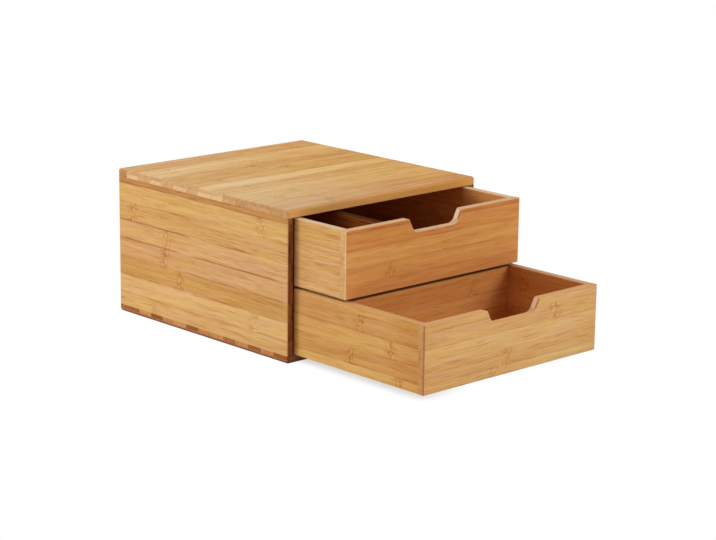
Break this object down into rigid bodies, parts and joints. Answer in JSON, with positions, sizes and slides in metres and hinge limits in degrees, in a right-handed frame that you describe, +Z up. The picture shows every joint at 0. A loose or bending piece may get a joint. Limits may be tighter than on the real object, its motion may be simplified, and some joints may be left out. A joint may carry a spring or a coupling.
{
  "type": "two-drawer tabletop chest",
  "caption": "Low square-edged chest of glued bamboo boards with two inset drawers, each with a finger notch in its front and a divider inside.",
  "frame": {"origin": "centre of the case's underside, on the surface it stands on", "axes": "+Z up, -Y out of the front where the drawers pull out, +X to the right of someone looking along +Y at the front"},
  "size_m": [0.25, 0.436, 0.15],
  "materials": {
    "bamboo_case": "satin clear lacquer on caramelised bamboo strips",
    "bamboo_drawer": "satin clear lacquer on fine-grained bamboo",
    "bamboo_panel": "thin bamboo board, matt lacquer",
    "dowel_wood": "bare beech"
  },
  "bodies": {
    "case": {"top_board": "bamboo_case", "bottom_board": "bamboo_case", "left_side_board": "bamboo_case", "right_side_board": "bamboo_case", "back_panel": "bamboo_panel", "middle_shelf": "bamboo_panel", "case_dowels": "dowel_wood"},
    "upper_drawer": {"upper_drawer_front": "bamboo_drawer", "upper_drawer_back": "bamboo_drawer", "upper_drawer_left_side": "bamboo_drawer", "upper_drawer_right_side": "bamboo_drawer", "upper_drawer_bottom": "bamboo_panel", "upper_drawer_divider": "bamboo_drawer", "upper_drawer_dowels": "dowel_wood"},
    "lower_drawer": {"lower_drawer_front": "bamboo_drawer", "lower_drawer_back": "bamboo_drawer", "lower_drawer_left_side": "bamboo_drawer", "lower_drawer_right_side": "bamboo_drawer", "lower_drawer_bottom": "bamboo_panel", "lower_drawer_divider": "bamboo_drawer", "lower_drawer_dowels": "dowel_wood"}
  },
  "joints": [
    {"name": "upper_drawer_slide", "type": "slide", "parent": "case", "child": "upper_drawer", "axis": [0, -1, 0], "range_m": [-0.0705, 0.156]},
    {"name": "lower_drawer_slide", "type": "slide", "parent": "case", "child": "lower_drawer", "axis": [0, -1, 0], "range_m": [-0.174, 0.0525]}
  ]
}
